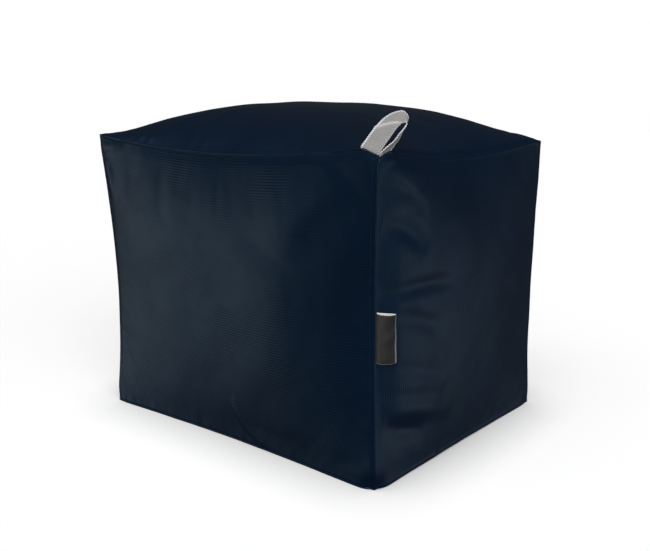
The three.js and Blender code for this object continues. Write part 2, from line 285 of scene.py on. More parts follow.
class CoverGrid:
    """A closed grid over the cube's six panels. Neighbouring panels share their seam's points."""

    def __init__(self, lines):
        self.lines = lines
        cells = [len(line) - 1 for line in lines]
        stride = np.array([(cells[1] + 1) * (cells[2] + 1), cells[2] + 1, 1])
        keys = {}
        for name, (axis, side, *_) in PANELS.items():
            flat = FLAT_AXES[axis]
            i, j = np.meshgrid(*(np.arange(cells[k] + 1) for k in flat), indexing="ij")
            fixed = cells[axis] if side > 0 else 0
            keys[name] = i * stride[flat[0]] + j * stride[flat[1]] + fixed * stride[axis]
        every, first, numbers = np.unique(
            np.concatenate([k.ravel() for k in keys.values()]), return_index=True, return_inverse=True)
        sizes = [k.size for k in keys.values()]
        self.panel_of = np.repeat(np.arange(len(PANELS)), sizes)[first]
        cell = np.stack([every // stride[0], every % stride[0] // stride[1], every % stride[1]], axis=1)
        self.cube = np.stack([self.lines[k][cell[:, k]] for k in range(3)], axis=1)
        self.panels = {}
        start = 0
        for (name, key), size in zip(keys.items(), sizes):
            self.panels[name] = numbers[start:start + size].reshape(key.shape)
            start += size

    def quads(self):
        """The panels' faces, each with its points in the order that turns it outwards."""
        faces = []
        for name, (axis, side, *_) in PANELS.items():
            at = self.panels[name]
            quad = np.stack([at[:-1, :-1], at[1:, :-1], at[1:, 1:], at[:-1, 1:]], axis=-1).reshape(-1, 4)
            outward = (side > 0) != (axis == 1)
            faces.append(quad if outward else quad[:, ::-1])
        return np.vstack(faces)

    def edge_distance(self):
        """Millimetres from each point to the nearest seam, roughly."""
        return np.sort((1 - np.abs(self.cube)) * HALF, axis=1)[:, 1]


def normals(points, quads):
    """The outward normal at each point of a closed quad mesh."""
    a, b, c, d = (points[quads[:, k]] for k in range(4))
    face = np.cross(c - a, d - b)
    total = np.zeros_like(points)
    for k in range(4):
        np.add.at(total, quads[:, k], face)
    return total / np.linalg.norm(total, axis=1, keepdims=True)


def mesh_object(name, points, faces, material=None):
    """A smooth mesh in the scene, from points in millimetres and a list of faces."""
    mesh = bpy.data.meshes.new(name)
    mesh.from_pydata((points * MM).tolist(), [], faces)
    mesh.update()
    mesh.polygons.foreach_set("use_smooth", [True] * len(mesh.polygons))
    obj = bpy.data.objects.new(name, mesh)
    bpy.context.scene.collection.objects.link(obj)
    if material:
        mesh.materials.append(material)
    return obj


# ---- simulation

# In each round of spreading, a point goes this share of the way to its neighbours' mean
SPREAD_WEIGHT = 0.5
# How many frames the cloth is blown up for, how hard, how much bigger than its place it is cut, and
# the most that a point may move
SIM_FRAMES = 20
SIM_PRESSURE = 4
SIM_EASE = 0.008
SIM_CAP = 6


def simulated_swelling(grid, points):
    """How far each point of a coarse cover moves when its cloth is blown up between its seams."""
    obj = mesh_object("swelling", points, grid.quads().tolist())
    seam = obj.vertex_groups.new(name="seams")
    on_seam = np.flatnonzero(grid.edge_distance() < ON_SEAM)
    seam.add([int(v) for v in on_seam], 1.0, "REPLACE")
    cloth = obj.modifiers.new("cloth", "CLOTH")
    settings = cloth.settings
    settings.quality = 5
    settings.mass = 0.3
    settings.tension_stiffness = 15
    settings.compression_stiffness = 15
    settings.shear_stiffness = 5
    settings.bending_stiffness = 0.3
    settings.use_pressure = True
    settings.uniform_pressure_force = SIM_PRESSURE
    settings.vertex_group_mass = "seams"
    settings.shrink_min = -SIM_EASE
    settings.effector_weights.gravity = 0
    cloth.point_cache.frame_start = 1
    cloth.point_cache.frame_end = SIM_FRAMES
    for number in range(1, SIM_FRAMES + 1):
        bpy.context.scene.frame_set(number)
    shaped = obj.evaluated_get(bpy.context.evaluated_depsgraph_get())
    after = np.zeros(len(points) * 3)
    shaped.data.vertices.foreach_get("co", after)
    bpy.context.scene.frame_set(1)
    moved = after.reshape(-1, 3) / MM - points
    bpy.data.objects.remove(obj)
    length = np.linalg.norm(moved, axis=1, keepdims=True)
    return moved * np.minimum(1, SIM_CAP / np.maximum(length, TINY))


def spread_out(values, quads, rounds):
    """The values at a grid's points, each moved towards its neighbours' mean a number of times."""
    ends = np.vstack([quads[:, [k, (k + 1) % 4]] for k in range(4)])
    count = np.bincount(ends.ravel(), minlength=len(values))[:, None]
    for _ in range(rounds):
        total = np.zeros_like(values)
        for k in range(3):
            total[:, k] = (np.bincount(ends[:, 0], values[ends[:, 1], k], len(values))
                           + np.bincount(ends[:, 1], values[ends[:, 0], k], len(values)))
        values = values + (total / count - values) * SPREAD_WEIGHT
    return values


def carried_over(values, coarse, fine):
    """Values at a coarse grid's points, interpolated to a fine grid's."""
    result = np.zeros((len(fine.cube), values.shape[1]))
    for name, (axis, *_) in PANELS.items():
        flat = FLAT_AXES[axis]
        block = values[coarse.panels[name]]
        for side, k in enumerate(flat):
            block = np.moveaxis(block, side, 0)
            shape = block.shape[1:]
            columns = block.reshape(block.shape[0], -1)
            block = resampled(columns, coarse.lines[k], fine.lines[k])
            block = np.moveaxis(block.reshape(-1, *shape), 0, side)
        result[fine.panels[name]] = block
    return result


# How many waves make up a random height, and how their lengths spread round the one asked for
WAVES = 20
WAVE_SPREAD = (0.75, 1.5)


def waves(places, wavelength, seed):
    """Smooth random heights with about that wavelength, 1 in root mean square."""
    rng = np.random.default_rng(seed)
    way = rng.normal(size=(WAVES, places.shape[1]))
    way /= np.linalg.norm(way, axis=1, keepdims=True)
    way *= 2 * np.pi / (wavelength * rng.uniform(*WAVE_SPREAD, (WAVES, 1)))
    phases = places @ way.T + rng.uniform(0, 2 * np.pi, WAVES)
    return np.cos(phases).sum(axis=1) * math.sqrt(2 / WAVES)


# ---- the cover's fine shape

# How much of the simulated swelling is used, how near a seam it dies out, and the rounds of spreading
# that leave only its broad part, which is taken off it
SIM_SHARE = 0.2
SIM_HELD = 26
SIM_BROAD_ROUNDS = 60

# How far the cloth stands out, how near a seam its fold is rounded, and in how many rounds
CLOTH = 0.8
ROUNDING = 1.0
ROUNDING_ROUNDS = 3

# The cloth's own unevenness: height, wavelength, seed
UNEVENNESS = [(0.2, 70, 5), (0.04, 24, 6)]

# The strip beside each upright on the front and back slopes down to the seam
LAP_WIDTH = 6.7
LAP_HEIGHT = 1.2

# Ridges and grooves beside the seams, in section: height or depth, distance from the seam, width
LAP_GROOVE = (0.3, LAP_WIDTH - 1, 1)
UPRIGHT_RIDGE = (0.15, 0, 1)
LID_RIDGE = (0.3, 0, 0.8)
LID_GROOVE = (0.8, 2.1, 1)
FAINT_GROOVE = (0.25, 2.1, 1)
SIDE_ROLL = (0.4, 4.5, 2)
SIDE_VALLEY = (0.8, 0, 1.6)

# How far from it a seam still shapes the cloth, and how far and over what length its lines wander
SEAM_REACH = 60
SEAM_WANDER = 0.25
SEAM_WANDER_WAVE = 60

# Puckers rise and die out over these distances from a seam, and come and go along it
PUCKERS = 0.35
PUCKER_WAVE = 17
PUCKER_RISES = 4
PUCKER_FADES = 11
PUCKER_CHANGE = 0.4
PUCKER_CHANGE_WAVE = 90

# Near a corner a seam's shape fades to this share of itself
CORNER_REACH = 8
CORNER_SHARE = 0.3

# The first of the seams' seeds, and what is added to each for its puckers
SEAM_SEED = 100
PUCKER_SEED = 50
PUCKER_CHANGE_SEED = 99

# The hollow where the strap goes in: how far it runs from the corner and over what length it ends,
# its depth, how far below the seam it is deepest, and its width above and below there
POCKET_LENGTH = 30
POCKET_END = 4
POCKET_DEPTH = 1.2
POCKET_BELOW = 1.2
POCKET_WIDTHS = (1, 5)


def ridge(distance, height, middle, width):
    """A ridge's height at a distance from a seam, fading on both sides of its middle."""
    return height * np.exp(-(((distance - middle) / width) ** 2))


def seam_profile(facing, across, apart, wandering):
    """Heights on a panel that faces one axis, beside the seam that ends it along another axis.

    They depend on the distance from the seam, and on one that wanders. The uprights are lapped onto
    the front and back. The lid's and base's seams stand in a thin ridge at the front and back, and
    lie in a valley at the sides."""
    if 2 not in (facing, across):
        profile = ridge(apart, *UPRIGHT_RIDGE)
        if facing == 1:
            slope = LAP_HEIGHT * np.maximum(1 - wandering / LAP_WIDTH, 0)
            profile -= slope + ridge(wandering, *LAP_GROOVE)
        return profile
    if 0 in (facing, across):
        return ridge(wandering, *SIDE_ROLL) - ridge(apart, *SIDE_VALLEY)
    groove = LID_GROOVE if facing == 1 else FAINT_GROOVE
    return ridge(apart, *LID_RIDGE) - ridge(wandering, *groove)


def strap_pocket(grid):
    """The hollow in the lid's seams where the strap goes in, as heights along the normal."""
    off = (1 - grid.cube * [1, -1, 1]) * HALF
    below = off[:, 2]
    reach = smoothstep(np.maximum(off[:, 0], off[:, 1]), POCKET_LENGTH + POCKET_END, POCKET_LENGTH)
    width = np.where(below < POCKET_BELOW, *POCKET_WIDTHS)
    seam = ridge(below, *LID_RIDGE) - ridge(below, *LID_GROOVE)
    return -reach * (ridge(below, POCKET_DEPTH, POCKET_BELOW, width) + seam)


def seam_heights(grid, points):
    """The lapped, ridged and puckered strip beside each seam, as heights along the normal."""
    height = np.zeros(len(points))
    for number, (name, (axis, *_)) in enumerate(PANELS.items()):
        flat = FLAT_AXES[axis]
        mine = np.unique(grid.panels[name])
        cube = grid.cube[mine]
        for k, other in (flat, flat[::-1]):
            along = cube[:, other] * HALF[other]
            from_corner = (1 - np.abs(cube[:, other])) * HALF[other]
            middle = smoothstep(from_corner, 0, CORNER_REACH)
            place = np.stack([along, np.zeros_like(along)], axis=1)
            for end in (-1, 1):
                seed = SEAM_SEED + number * 10 + k * 3 + end
                apart = (1 - end * cube[:, k]) * HALF[k]
                wandering = apart + SEAM_WANDER * waves(place, SEAM_WANDER_WAVE, seed)
                profile = seam_profile(axis, k, apart, wandering)
                pucker = waves(place, PUCKER_WAVE, seed + PUCKER_SEED)
                pucker = pucker * np.exp(-wandering / PUCKER_FADES)
                pucker = pucker * (1 - np.exp(-wandering / PUCKER_RISES))
                change = PUCKER_CHANGE * waves(place, PUCKER_CHANGE_WAVE, seed + PUCKER_CHANGE_SEED)
                profile += PUCKERS * pucker * (1 - PUCKER_CHANGE + change)
                profile *= CORNER_SHARE + (1 - CORNER_SHARE) * middle
                # A point on the seam gets half its height from each of the two panels
                share = np.where(apart < ON_SEAM, 0.5, 1)
                height[mine] += np.where(apart < SEAM_REACH, profile, 0) * share
    return height


def cover_shape():
    """The cover's grid, its faces and its points in millimetres."""
    fine = CoverGrid(fine_lines())
    quads = fine.quads()
    points = cover_points(fine.cube, fine.panel_of)
    coarse = CoverGrid(even_lines(SIM_STEP))
    moved = simulated_swelling(coarse, cover_points(coarse.cube, coarse.panel_of))
    broad = spread_out(moved, coarse.quads(), SIM_BROAD_ROUNDS)
    held = smoothstep(coarse.edge_distance(), 0, SIM_HELD)[:, None]
    points = points + SIM_SHARE * carried_over((moved - broad) * held, coarse, fine)
    rounded = spread_out(points, quads, ROUNDING_ROUNDS)
    share = np.exp(-(fine.edge_distance() / ROUNDING) ** 2)[:, None]
    points = points + (rounded - points) * share
    height = CLOTH + seam_heights(fine, points) + strap_pocket(fine)
    height += sum(rise * waves(points, length, seed) for rise, length, seed in UNEVENNESS)
    points = points + normals(points, quads) * height[:, None]
    points[:, 2] = np.maximum(points[:, 2], 0)
    return fine, quads, points


# ---- materials

# Most of a noise texture's numbers lie between these
NOISE_RANGE = (0.3, 0.7)


class Nodes:
    """Short calls for building the node tree of a material or of the world."""

    def __init__(self, owner):
        owner.use_nodes = True
        self.owner = owner
        self.tree = owner.node_tree
        self.shader = self.tree.nodes.get("Principled BSDF")

    def add(self, kind, inputs=(), **settings):
        """A new node with these inputs and settings."""
        node = self.tree.nodes.new("ShaderNode" + kind)
        for key, value in settings.items():
            setattr(node, key, value)
        for key, value in dict(inputs).items():
            self.feed(node.inputs[key], value)
        return node

    def feed(self, socket, value):
        """Links a node's first output or a socket to an input, or sets a value on it."""
        if hasattr(value, "outputs"):
            value = value.outputs[0]
        if hasattr(value, "is_output"):
            self.tree.links.new(value, socket)
        else:
            socket.default_value = value

    def finished(self, inputs):
        """The material, once its surface shader has these inputs."""
        for key, value in inputs.items():
            self.feed(self.shader.inputs[key], value)
        return self.owner

    def math(self, operation, *values):
        return self.add("Math", dict(enumerate(values)), operation=operation)

    def stripes(self, wave, place, pitch):
        """A sine or cosine that repeats after so many millimetres of a place in metres."""
        return self.math(wave, self.math("MULTIPLY", place, 2 * math.pi / (pitch * MM)))

    def noise(self, place, scale, detail, **more):
        """Smooth noise, with about so many spots to a metre of the place."""
        inputs = {"Vector": place, "Scale": scale, "Detail": detail, **more}
        return self.add("TexNoise", inputs).outputs[0]

    def ramp(self, source, low, high, out_low, out_high):
        """A number that goes from one value to another as its source does, and stops there."""
        return self.add("MapRange", {0: source, 1: low, 2: high, 3: out_low, 4: out_high})

    def uneven(self, noise, low, high):
        """A number that noise drives from low to high."""
        return self.ramp(noise, *NOISE_RANGE, low, high)

    def blend(self, share, first, second):
        """From one colour to the other as the share goes from 0 to 1."""
        return self.add("Mix", {0: share, 6: first, 7: second}, data_type="RGBA").outputs[2]

    def shaded(self, colour, shade):
        """The colour multiplied by a number."""
        grey = self.add("CombineColor", {0: shade, 1: shade, 2: shade})
        mix = self.add("Mix", {0: 1.0, 6: colour, 7: grey}, data_type="RGBA", blend_type="MULTIPLY")
        return mix.outputs[2]

    def bump(self, height, depth, normal=None):
        """A bump whose height input, from 0 to 1, stands for that depth in millimetres."""
        inputs = {"Height": height, "Distance": depth * MM, "Strength": 1.0}
        if normal:
            inputs["Normal"] = normal
        return self.add("Bump", inputs)


def linear(red, green, blue):
    """A linear colour from sRGB numbers up to 255."""
    values = [v / 255 for v in (red, green, blue)]
    return tuple(v / 12.92 if v <= 0.04045 else ((v + 0.055) / 1.055) ** 2.4 for v in values) + (1,)


# The cloth is near black, and its look is mostly the tinted light that it mirrors
COVER_COLOUR = (0.002, 0.008, 0.022, 1)
COVER_GLOSS_TINT = (0.38, 0.74, 1, 1)
COVER_GLOSS = (0.29, 0.32)
COVER_SHADE = (0.93, 1.07)
COVER_SPOTS = 14

# Its weave, the ribs that show in patches, its uneven yarns and its grain: pitch or spots to a
# metre, and depth
WEAVE = 0.9
WEAVE_DEPTH = 0.02
RIB = 3.6
RIB_DEPTH = 0.14
RIB_PATCHES = (0.42, 0.62)
SLUB_SPOTS = (140, 330, 1)
SLUB_DEPTH = 0.06
GRAIN_SPOTS = 900
GRAIN_DEPTH = 0.02

# The axes that the cloth's two threads follow on a panel that faces each axis
CLOTH_AXES = [(2, 1), (0, 2), (0, 1)]


def cover_material():
    nodes = Nodes(bpy.data.materials.new("cover_cloth"))
    cloth = nodes.add("UVMap", uv_map="cloth")
    split = nodes.add("SeparateXYZ", {0: cloth})
    threads = [nodes.stripes("SINE", split.outputs[k], WEAVE) for k in range(2)]
    weave = nodes.ramp(nodes.math("MULTIPLY", *threads), -1, 1, 0, 1)
    slubs = nodes.noise(nodes.add("Mapping", {0: cloth, 3: SLUB_SPOTS}), 1, 2, Roughness=0.6)
    grain = nodes.noise(cloth, GRAIN_SPOTS, 2)
    mottling = nodes.noise(nodes.add("TexCoord").outputs["Object"], COVER_SPOTS, 3)
    patches = nodes.ramp(nodes.noise(cloth, COVER_SPOTS, 2), *RIB_PATCHES, 0, 1)
    ribs = nodes.ramp(nodes.stripes("SINE", split.outputs[1], RIB), -1, 1, 0, 1)
    bump = nodes.bump(nodes.math("MULTIPLY", ribs, patches), RIB_DEPTH)
    bump = nodes.bump(weave, WEAVE_DEPTH, bump)
    bump = nodes.bump(slubs, SLUB_DEPTH, bump)
    bump = nodes.bump(grain, GRAIN_DEPTH, bump)
    return nodes.finished({
        "Base Color": nodes.shaded(COVER_COLOUR, nodes.uneven(mottling, *COVER_SHADE)),
        "Normal": bump,
        "Roughness": nodes.uneven(mottling, *COVER_GLOSS),
        "Specular IOR Level": 0.5,
        "Specular Tint": COVER_GLOSS_TINT,
    })


def add_cover():
    grid, quads, points = cover_shape()
    obj = mesh_object("pouf_cover", points, quads.tolist(), cover_material())
    layer = obj.data.uv_layers.new(name="cloth")
    uv = np.zeros((len(quads), 4, 2))
    start = 0
    for name, (axis, *_) in PANELS.items():
        rows, columns = grid.panels[name].shape
        end = start + (rows - 1) * (columns - 1)
        corner = grid.cube[quads[start:end]] * HALF * MM
        uv[start:end] = corner[:, :, CLOTH_AXES[axis]]
        start = end
    layer.data.foreach_set("uv", uv.ravel())
    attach(obj, "root")
    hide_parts("pouf_body")
    return grid, quads, points


# ---- the carry loop

STRAP_WIDTH = 28
STRAP_THICKNESS = 1.2
STRAP_STEP = 0.34

# The strap leaves the lid's front seam, leans back as it rises, turns over and comes down on the
# lid's right seam. Its edge nearest the corner, in millimetres from the corner's tip; the way its
# width runs from there, in degrees from +X towards +Y; how far that way climbs, in degrees
STRAP = [
    ((-3, 4, -1.6), 177, 14),
    ((-2.5, 3.4, 1), 177, 15),
    ((-1.5, 11.6, 10.4), 174, 15),
    ((0.3, 21.4, 20.2), 169, 20),
    ((2.3, 31.4, 30.2), 156, 24),
    ((4.6, 36.7, 34.1), 143, 26),
    ((8.1, 39.2, 35.6), 132, 25),
    ((10.2, 37.6, 33.6), 122, 18),
    ((10.3, 33, 29.2), 118.5, 11),
    ((8.7, 26, 23.2), 117, 5),
    ((7, 18.8, 16), 114, 2),
    ((3.9, 7.3, 8.6), 107, 1),
    ((0, 2, 2.4), 100, 4),
    ((-2, 3, -2), 98, 5),
]
# Steps from row to row, points across the strap, and points round each of its edges
STRAP_CURVE_STEPS = 24
STRAP_POINTS = 58
EDGE_POINTS = 5

# The selvedges: their width, how far from the middle line they start, their height and that of
# their beads, the slant of the beads, and how gradually their height and shade start
SELVEDGE = 2.8
WEB_HALF = STRAP_WIDTH / 2 - SELVEDGE
SELVEDGE_RISE = 0.16
SELVEDGE_BEADS = 0.14
BEAD_SLANT = 0.9
SELVEDGE_BLUR = 0.4
SELVEDGE_SHADE_BLUR = 0.5

# The twill between them: the pitch, height and slant of its ribs
TWILL = 2.7
TWILL_RISE = 0.08
TWILL_SLANT = 0.7

# The soft crease across its front leg: where it starts and ends, along the strap and across it
CREASE = [(59, -14), (30.8, 14)]
CREASE_RISE = -0.9
CREASE_WIDTH = 2

# The selvedges are of paler yarn, and along the crease's ridge a painted highlight makes the strap paler. Up
# to how far along the selvedge nearest the corner is less so, and by what share, where the paleness of both
# starts, and how pale the crease's painted highlight is
DULLED_UP_TO = (60, 70)
DULLED_BY = 0.75
PALE_START = (-0.5, 0.3)
CREASE_PAINTED_HIGHLIGHT = 0.6

STRAP_COLOUR = linear(154, 152, 151)
SELVEDGE_COLOUR = linear(223, 224, 228)
# The painted shade in the twill's troughs and painted light on its crests, in the web and then in the
# selvedges
TWILL_TROUGHS = (0.94, 0.5)
TWILL_CRESTS = (1.03, 1.1)
STRAP_YARN_SPOTS = (400, 2600, 1)
STRAP_YARN_SHADE = (0.94, 1.05)
STRAP_YARN_DEPTH = 0.08
STRAP_CLOUD_SPOTS = 60
STRAP_CLOUD_SHADE = (0.95, 1.04)


def unit(vectors):
    return vectors / np.linalg.norm(vectors, axis=-1, keepdims=True)


def strap_stations():
    """Even stations along the strap: how far along, its middle, the way of its width, and out."""
    tip = cover_points(np.array([[1.0, -1.0, 1.0]]), np.zeros(1))[0]
    rows = []
    for inner, heading, lift in STRAP:
        turn, climb = math.radians(heading), math.radians(lift)
        level = math.cos(climb)
        rows.append([*(tip + inner), level * math.cos(turn), level * math.sin(turn), math.sin(climb)])
    curve = smoothed_path(rows, STRAP_CURVE_STEPS)
    way = unit(curve[:, 3:])
    middle = curve[:, :3] + way * STRAP_WIDTH / 2
    along = lengths_along(middle)
    even = np.linspace(0, along[-1], round(along[-1] / STRAP_STEP) + 1)
    middle, way = (resampled(each, along, even) for each in (middle, way))
    out = unit(np.cross(way, np.gradient(middle, axis=0)))
    return even, middle, way, out


def tape_section(width, thickness, count):
    """Places round a flat tape's section, and the way out at each: across it and up from it."""
    radius = thickness / 2
    flat = np.linspace(-1, 1, count) * (width / 2 - radius)
    angle = np.linspace(math.pi / 2, -math.pi / 2, EDGE_POINTS + 2)[1:-1]
    turn = np.stack([np.cos(angle), np.sin(angle)], axis=1)
    upper = np.stack([flat, np.full(count, radius)], axis=1)
    right = np.array([width / 2 - radius, 0]) + radius * turn
    ways = np.vstack([np.tile([0, 1], (count, 1)), turn])
    return np.vstack([upper, right, -upper, -right]), np.vstack([ways, -ways])


def tube_faces(stations, ring):
    """Faces of a closed tube whose points go round each station in turn."""
    start = np.arange(stations - 1)[:, None] * ring
    here = np.arange(ring)
    after = (here + 1) % ring
    quads = np.stack([start + here, start + after, start + ring + after, start + ring + here], axis=-1)
    last = (stations - 1) * ring
    caps = [list(range(ring))[::-1], list(range(last, last + ring))]
    return quads.reshape(-1, 4).tolist() + caps


def strap_relief(along, across):
    """The heights of its ribs and beaded selvedges, and how much the strap is creased."""
    aside = np.abs(across)
    rib = TWILL_RISE * np.cos(2 * np.pi * (along + TWILL_SLANT * across) / TWILL)
    edge = 1 - smoothstep(WEB_HALF - aside, -SELVEDGE_BLUR, SELVEDGE_BLUR)
    beads = np.cos(2 * np.pi * (along + BEAD_SLANT * aside) / TWILL)
    bead = SELVEDGE_RISE + SELVEDGE_BEADS * beads
    start, end = np.array(CREASE, float)
    run = end - start
    off = ((along - start[0]) * run[1] - (across - start[1]) * run[0]) / np.linalg.norm(run)
    return rib * (1 - edge) + bead * edge, np.exp(-((off / CREASE_WIDTH) ** 2))


def strap_material():
    nodes = Nodes(bpy.data.materials.new("strap_webbing"))
    tape = nodes.add("UVMap", uv_map="tape")
    split = nodes.add("SeparateXYZ", {0: tape})
    along, across = split.outputs[0], split.outputs[1]
    slant = nodes.math("ADD", along, nodes.math("MULTIPLY", across, TWILL_SLANT))
    twill = nodes.stripes("COSINE", slant, TWILL)
    shaded_edge = WEB_HALF + SELVEDGE_SHADE_BLUR
    edge = nodes.ramp(nodes.math("ABSOLUTE", across), WEB_HALF * MM, shaded_edge * MM, 0, 1)
    yarns = nodes.noise(nodes.add("Mapping", {0: tape, 3: STRAP_YARN_SPOTS}), 1, 2)
    clouds = nodes.noise(nodes.add("TexCoord").outputs["Object"], STRAP_CLOUD_SPOTS, 3)
    # The twill's troughs are darkened and its crests lightened in step with its ribs' relief: painted shade
    # and painted light
    troughs = nodes.ramp(edge, 0, 1, *TWILL_TROUGHS)
    crests = nodes.ramp(edge, 0, 1, *TWILL_CRESTS)
    shade = nodes.ramp(twill, -1, 1, troughs, crests)
    shade = nodes.math("MULTIPLY", shade, nodes.uneven(yarns, *STRAP_YARN_SHADE))
    shade = nodes.math("MULTIPLY", shade, nodes.uneven(clouds, *STRAP_CLOUD_SHADE))
    # pale: the selvedges' paler yarn, and a painted highlight along the crease
    pale = nodes.add("Attribute", attribute_name="pale").outputs["Fac"]
    return nodes.finished({
        "Base Color": nodes.shaded(nodes.blend(pale, STRAP_COLOUR, SELVEDGE_COLOUR), shade),
        "Normal": nodes.bump(yarns, STRAP_YARN_DEPTH),
        "Roughness": 0.75,
        "Specular IOR Level": 0.3,
        "Sheen Weight": 0.15,
    })


def paint_uv(obj, name, places):
    """A UV layer from one place in millimetres for each point of the mesh."""
    layer = obj.data.uv_layers.new(name=name)
    point_of = np.zeros(len(obj.data.loops), dtype=np.int64)
    obj.data.loops.foreach_get("vertex_index", point_of)
    layer.data.foreach_set("uv", (places * MM)[point_of].ravel())


def add_loop():
    along, middle, way, out = strap_stations()
    section, section_out = tape_section(STRAP_WIDTH, STRAP_THICKNESS, STRAP_POINTS)
    beside = section[None, :, 0]
    relief, crease = strap_relief(along[:, None], beside)
    across = section[:, 0] + section_out[:, 0] * relief
    up = section[:, 1] + section_out[:, 1] * relief + CREASE_RISE * crease
    points = middle[:, None] + way[:, None] * across[..., None] + out[:, None] * up[..., None]
    faces = tube_faces(len(along), len(section))
    obj = mesh_object("carry_strap", points.reshape(-1, 3), faces, strap_material())
    place = np.stack(np.broadcast_arrays(along[:, None], beside), axis=-1)
    paint_uv(obj, "tape", place.reshape(-1, 2))
    dulled = (beside < 0) * (1 - smoothstep(along[:, None], *DULLED_UP_TO))
    selvedge = 1 - smoothstep(WEB_HALF - np.abs(beside), *PALE_START)
    selvedge = selvedge * (1 - DULLED_BY * dulled)
    # The crease's paleness is a painted highlight on its ridge; the selvedges' paleness is their own paler
    # yarn
    pale = obj.data.attributes.new("pale", "FLOAT", "POINT")
    pale.data.foreach_set("value", np.maximum(selvedge, CREASE_PAINTED_HIGHLIGHT * crease).ravel())
    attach(obj, "root")
    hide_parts("carry_loop")


# ---- the side label

LABEL_HEIGHT = 60.5
LABEL_WIDTH = 28
LABEL_BOTTOM = 163.5
LABEL_THICKNESS = 0.7
LABEL_STEP = 0.6
LABEL_ROW = 0.8

# Its middle line: along the right panel from the seam, and out from the panel. The back layer
# lies on the panel, and the front layer arches away from it
LABEL_BENDS = [
    (2.2, -3), (2.8, 0.4), (9, 1.6), (18, 2.6), (25.5, 3.6), (27.5, 5.2),
    (25.5, 6.9), (18, 7.6), (8, 5.6), (1, 1), (0.8, -3),
]
LABEL_CURVE_STEPS = 16

# The front layer's arch: how far out it starts, and how much of it is left at the bottom
ARCH_FROM = 3.6
ARCH_LOW = 0.2

# How much further out it stands than that line, once the line itself is this far out
LABEL_PROUD = 1.2
LABEL_OUT = (-1, 1)

# How much lower its free end hangs than its end at the seam
LABEL_DROOP = 5
# How much lower its front layer sits, and over which shares of the line that starts and ends
LABEL_ASKEW = 2.2
ASKEW_STARTS = (0.45, 0.7)
ASKEW_ENDS = (1, 0.85)
# How much wider its bottom is than its top, and how far up it has the line's own width
LABEL_SPLAY = 2.4
SPLAY_LEVEL = 0.6

# Its ripples: height, wavelength, seed, and how far beyond the seam they start
LABEL_RIPPLE = (0.22, 22, 41)
LABEL_LOOSE = (3, 12)

# Its upper and lower rims are half as thick, over this height
RIM_THINNED = 1.2

# The paler bands along its fold and its lower rim, and how gradually they end
FOLD_BAND = 3
FOLD_BAND_BLUR = 0.4
RIM_BAND = 0.5
RIM_BAND_BLUR = 0.3

LABEL_FRONT = linear(36, 35, 35)
LABEL_BACK = linear(222, 221, 219)
LABEL_EDGE = linear(128, 129, 133)
# Its ribs: their pitch, the painted shade in their troughs and painted light on their crests, and their
# bump's depth
LABEL_RIB = 0.5
LABEL_RIB_SHADE = (0.9, 1.08)
LABEL_RIB_DEPTH = 0.03
LABEL_YARN_SPOTS = (3000, 500, 1)
LABEL_YARN_SHADE = (0.88, 1.12)
LABEL_YARN_DEPTH = 0.04
LABEL_CLOUD_SPOTS = 70


def label_sheets():
    """The label's outer and inner skins, row by row, and the places of their points when flat."""
    line = smoothed_path(LABEL_BENDS, LABEL_CURVE_STEPS)
    along = lengths_along(line)
    even = np.linspace(0, along[-1], round(along[-1] / LABEL_STEP) + 1)
    line = resampled(line, along, even)
    beside, outward = line[:, 0], line[:, 1]
    run = unit(np.gradient(line, axis=0))
    rows = np.linspace(0, 1, round(LABEL_HEIGHT / LABEL_ROW) + 1)
    height = LABEL_BOTTOM + rows * LABEL_HEIGHT
    level = height / HALF[2] - 1
    on_panel = np.full(len(rows), list(PANELS).index("right"))
    ones = np.ones(len(rows))
    seam = cover_points(np.stack([ones, -ones, level], axis=1), on_panel)
    panel = cover_points(np.stack([ones, ones * (LABEL_WIDTH / HALF[1] - 1), level], axis=1), on_panel)
    way = unit((panel - seam) * [1, 1, 0])
    out = np.stack([way[:, 1], -way[:, 0], np.zeros(len(rows))], axis=1)
    splay = 1 + (SPLAY_LEVEL - rows) * LABEL_SPLAY / LABEL_WIDTH
    flat = np.stack(np.meshgrid(even, rows * LABEL_HEIGHT, indexing="xy"), axis=-1)
    rise, length, seed = LABEL_RIPPLE
    ripple = rise * waves(flat.reshape(-1, 2), length, seed).reshape(flat.shape[:2])
    ripple = ripple * smoothstep(beside, *LABEL_LOOSE)
    share = even / even[-1]
    askew = LABEL_ASKEW * smoothstep(share, *ASKEW_STARTS) * smoothstep(share, *ASKEW_ENDS)
    rim = np.minimum(rows, 1 - rows) * LABEL_HEIGHT
    half = LABEL_THICKNESS / 2 * (0.5 + 0.5 * smoothstep(rim, 0, RIM_THINNED))
    arched = ARCH_FROM + (outward - ARCH_FROM) * (ARCH_LOW + (1 - ARCH_LOW) * rows[:, None])
    arch = np.where(outward > ARCH_FROM, arched, outward)
    skins = []
    for sign in (-1, 1):
        x = beside - sign * half[:, None] * run[:, 1]
        y = arch + sign * half[:, None] * run[:, 0] + ripple
        y = y + LABEL_PROUD * smoothstep(outward, *LABEL_OUT)
        point = seam[:, None] + way[:, None] * (x * splay[:, None])[..., None] + out[:, None] * y[..., None]
        point[..., 2] = height[:, None] - askew - beside / LABEL_WIDTH * LABEL_DROOP
        skins.append(point)
    return skins, flat


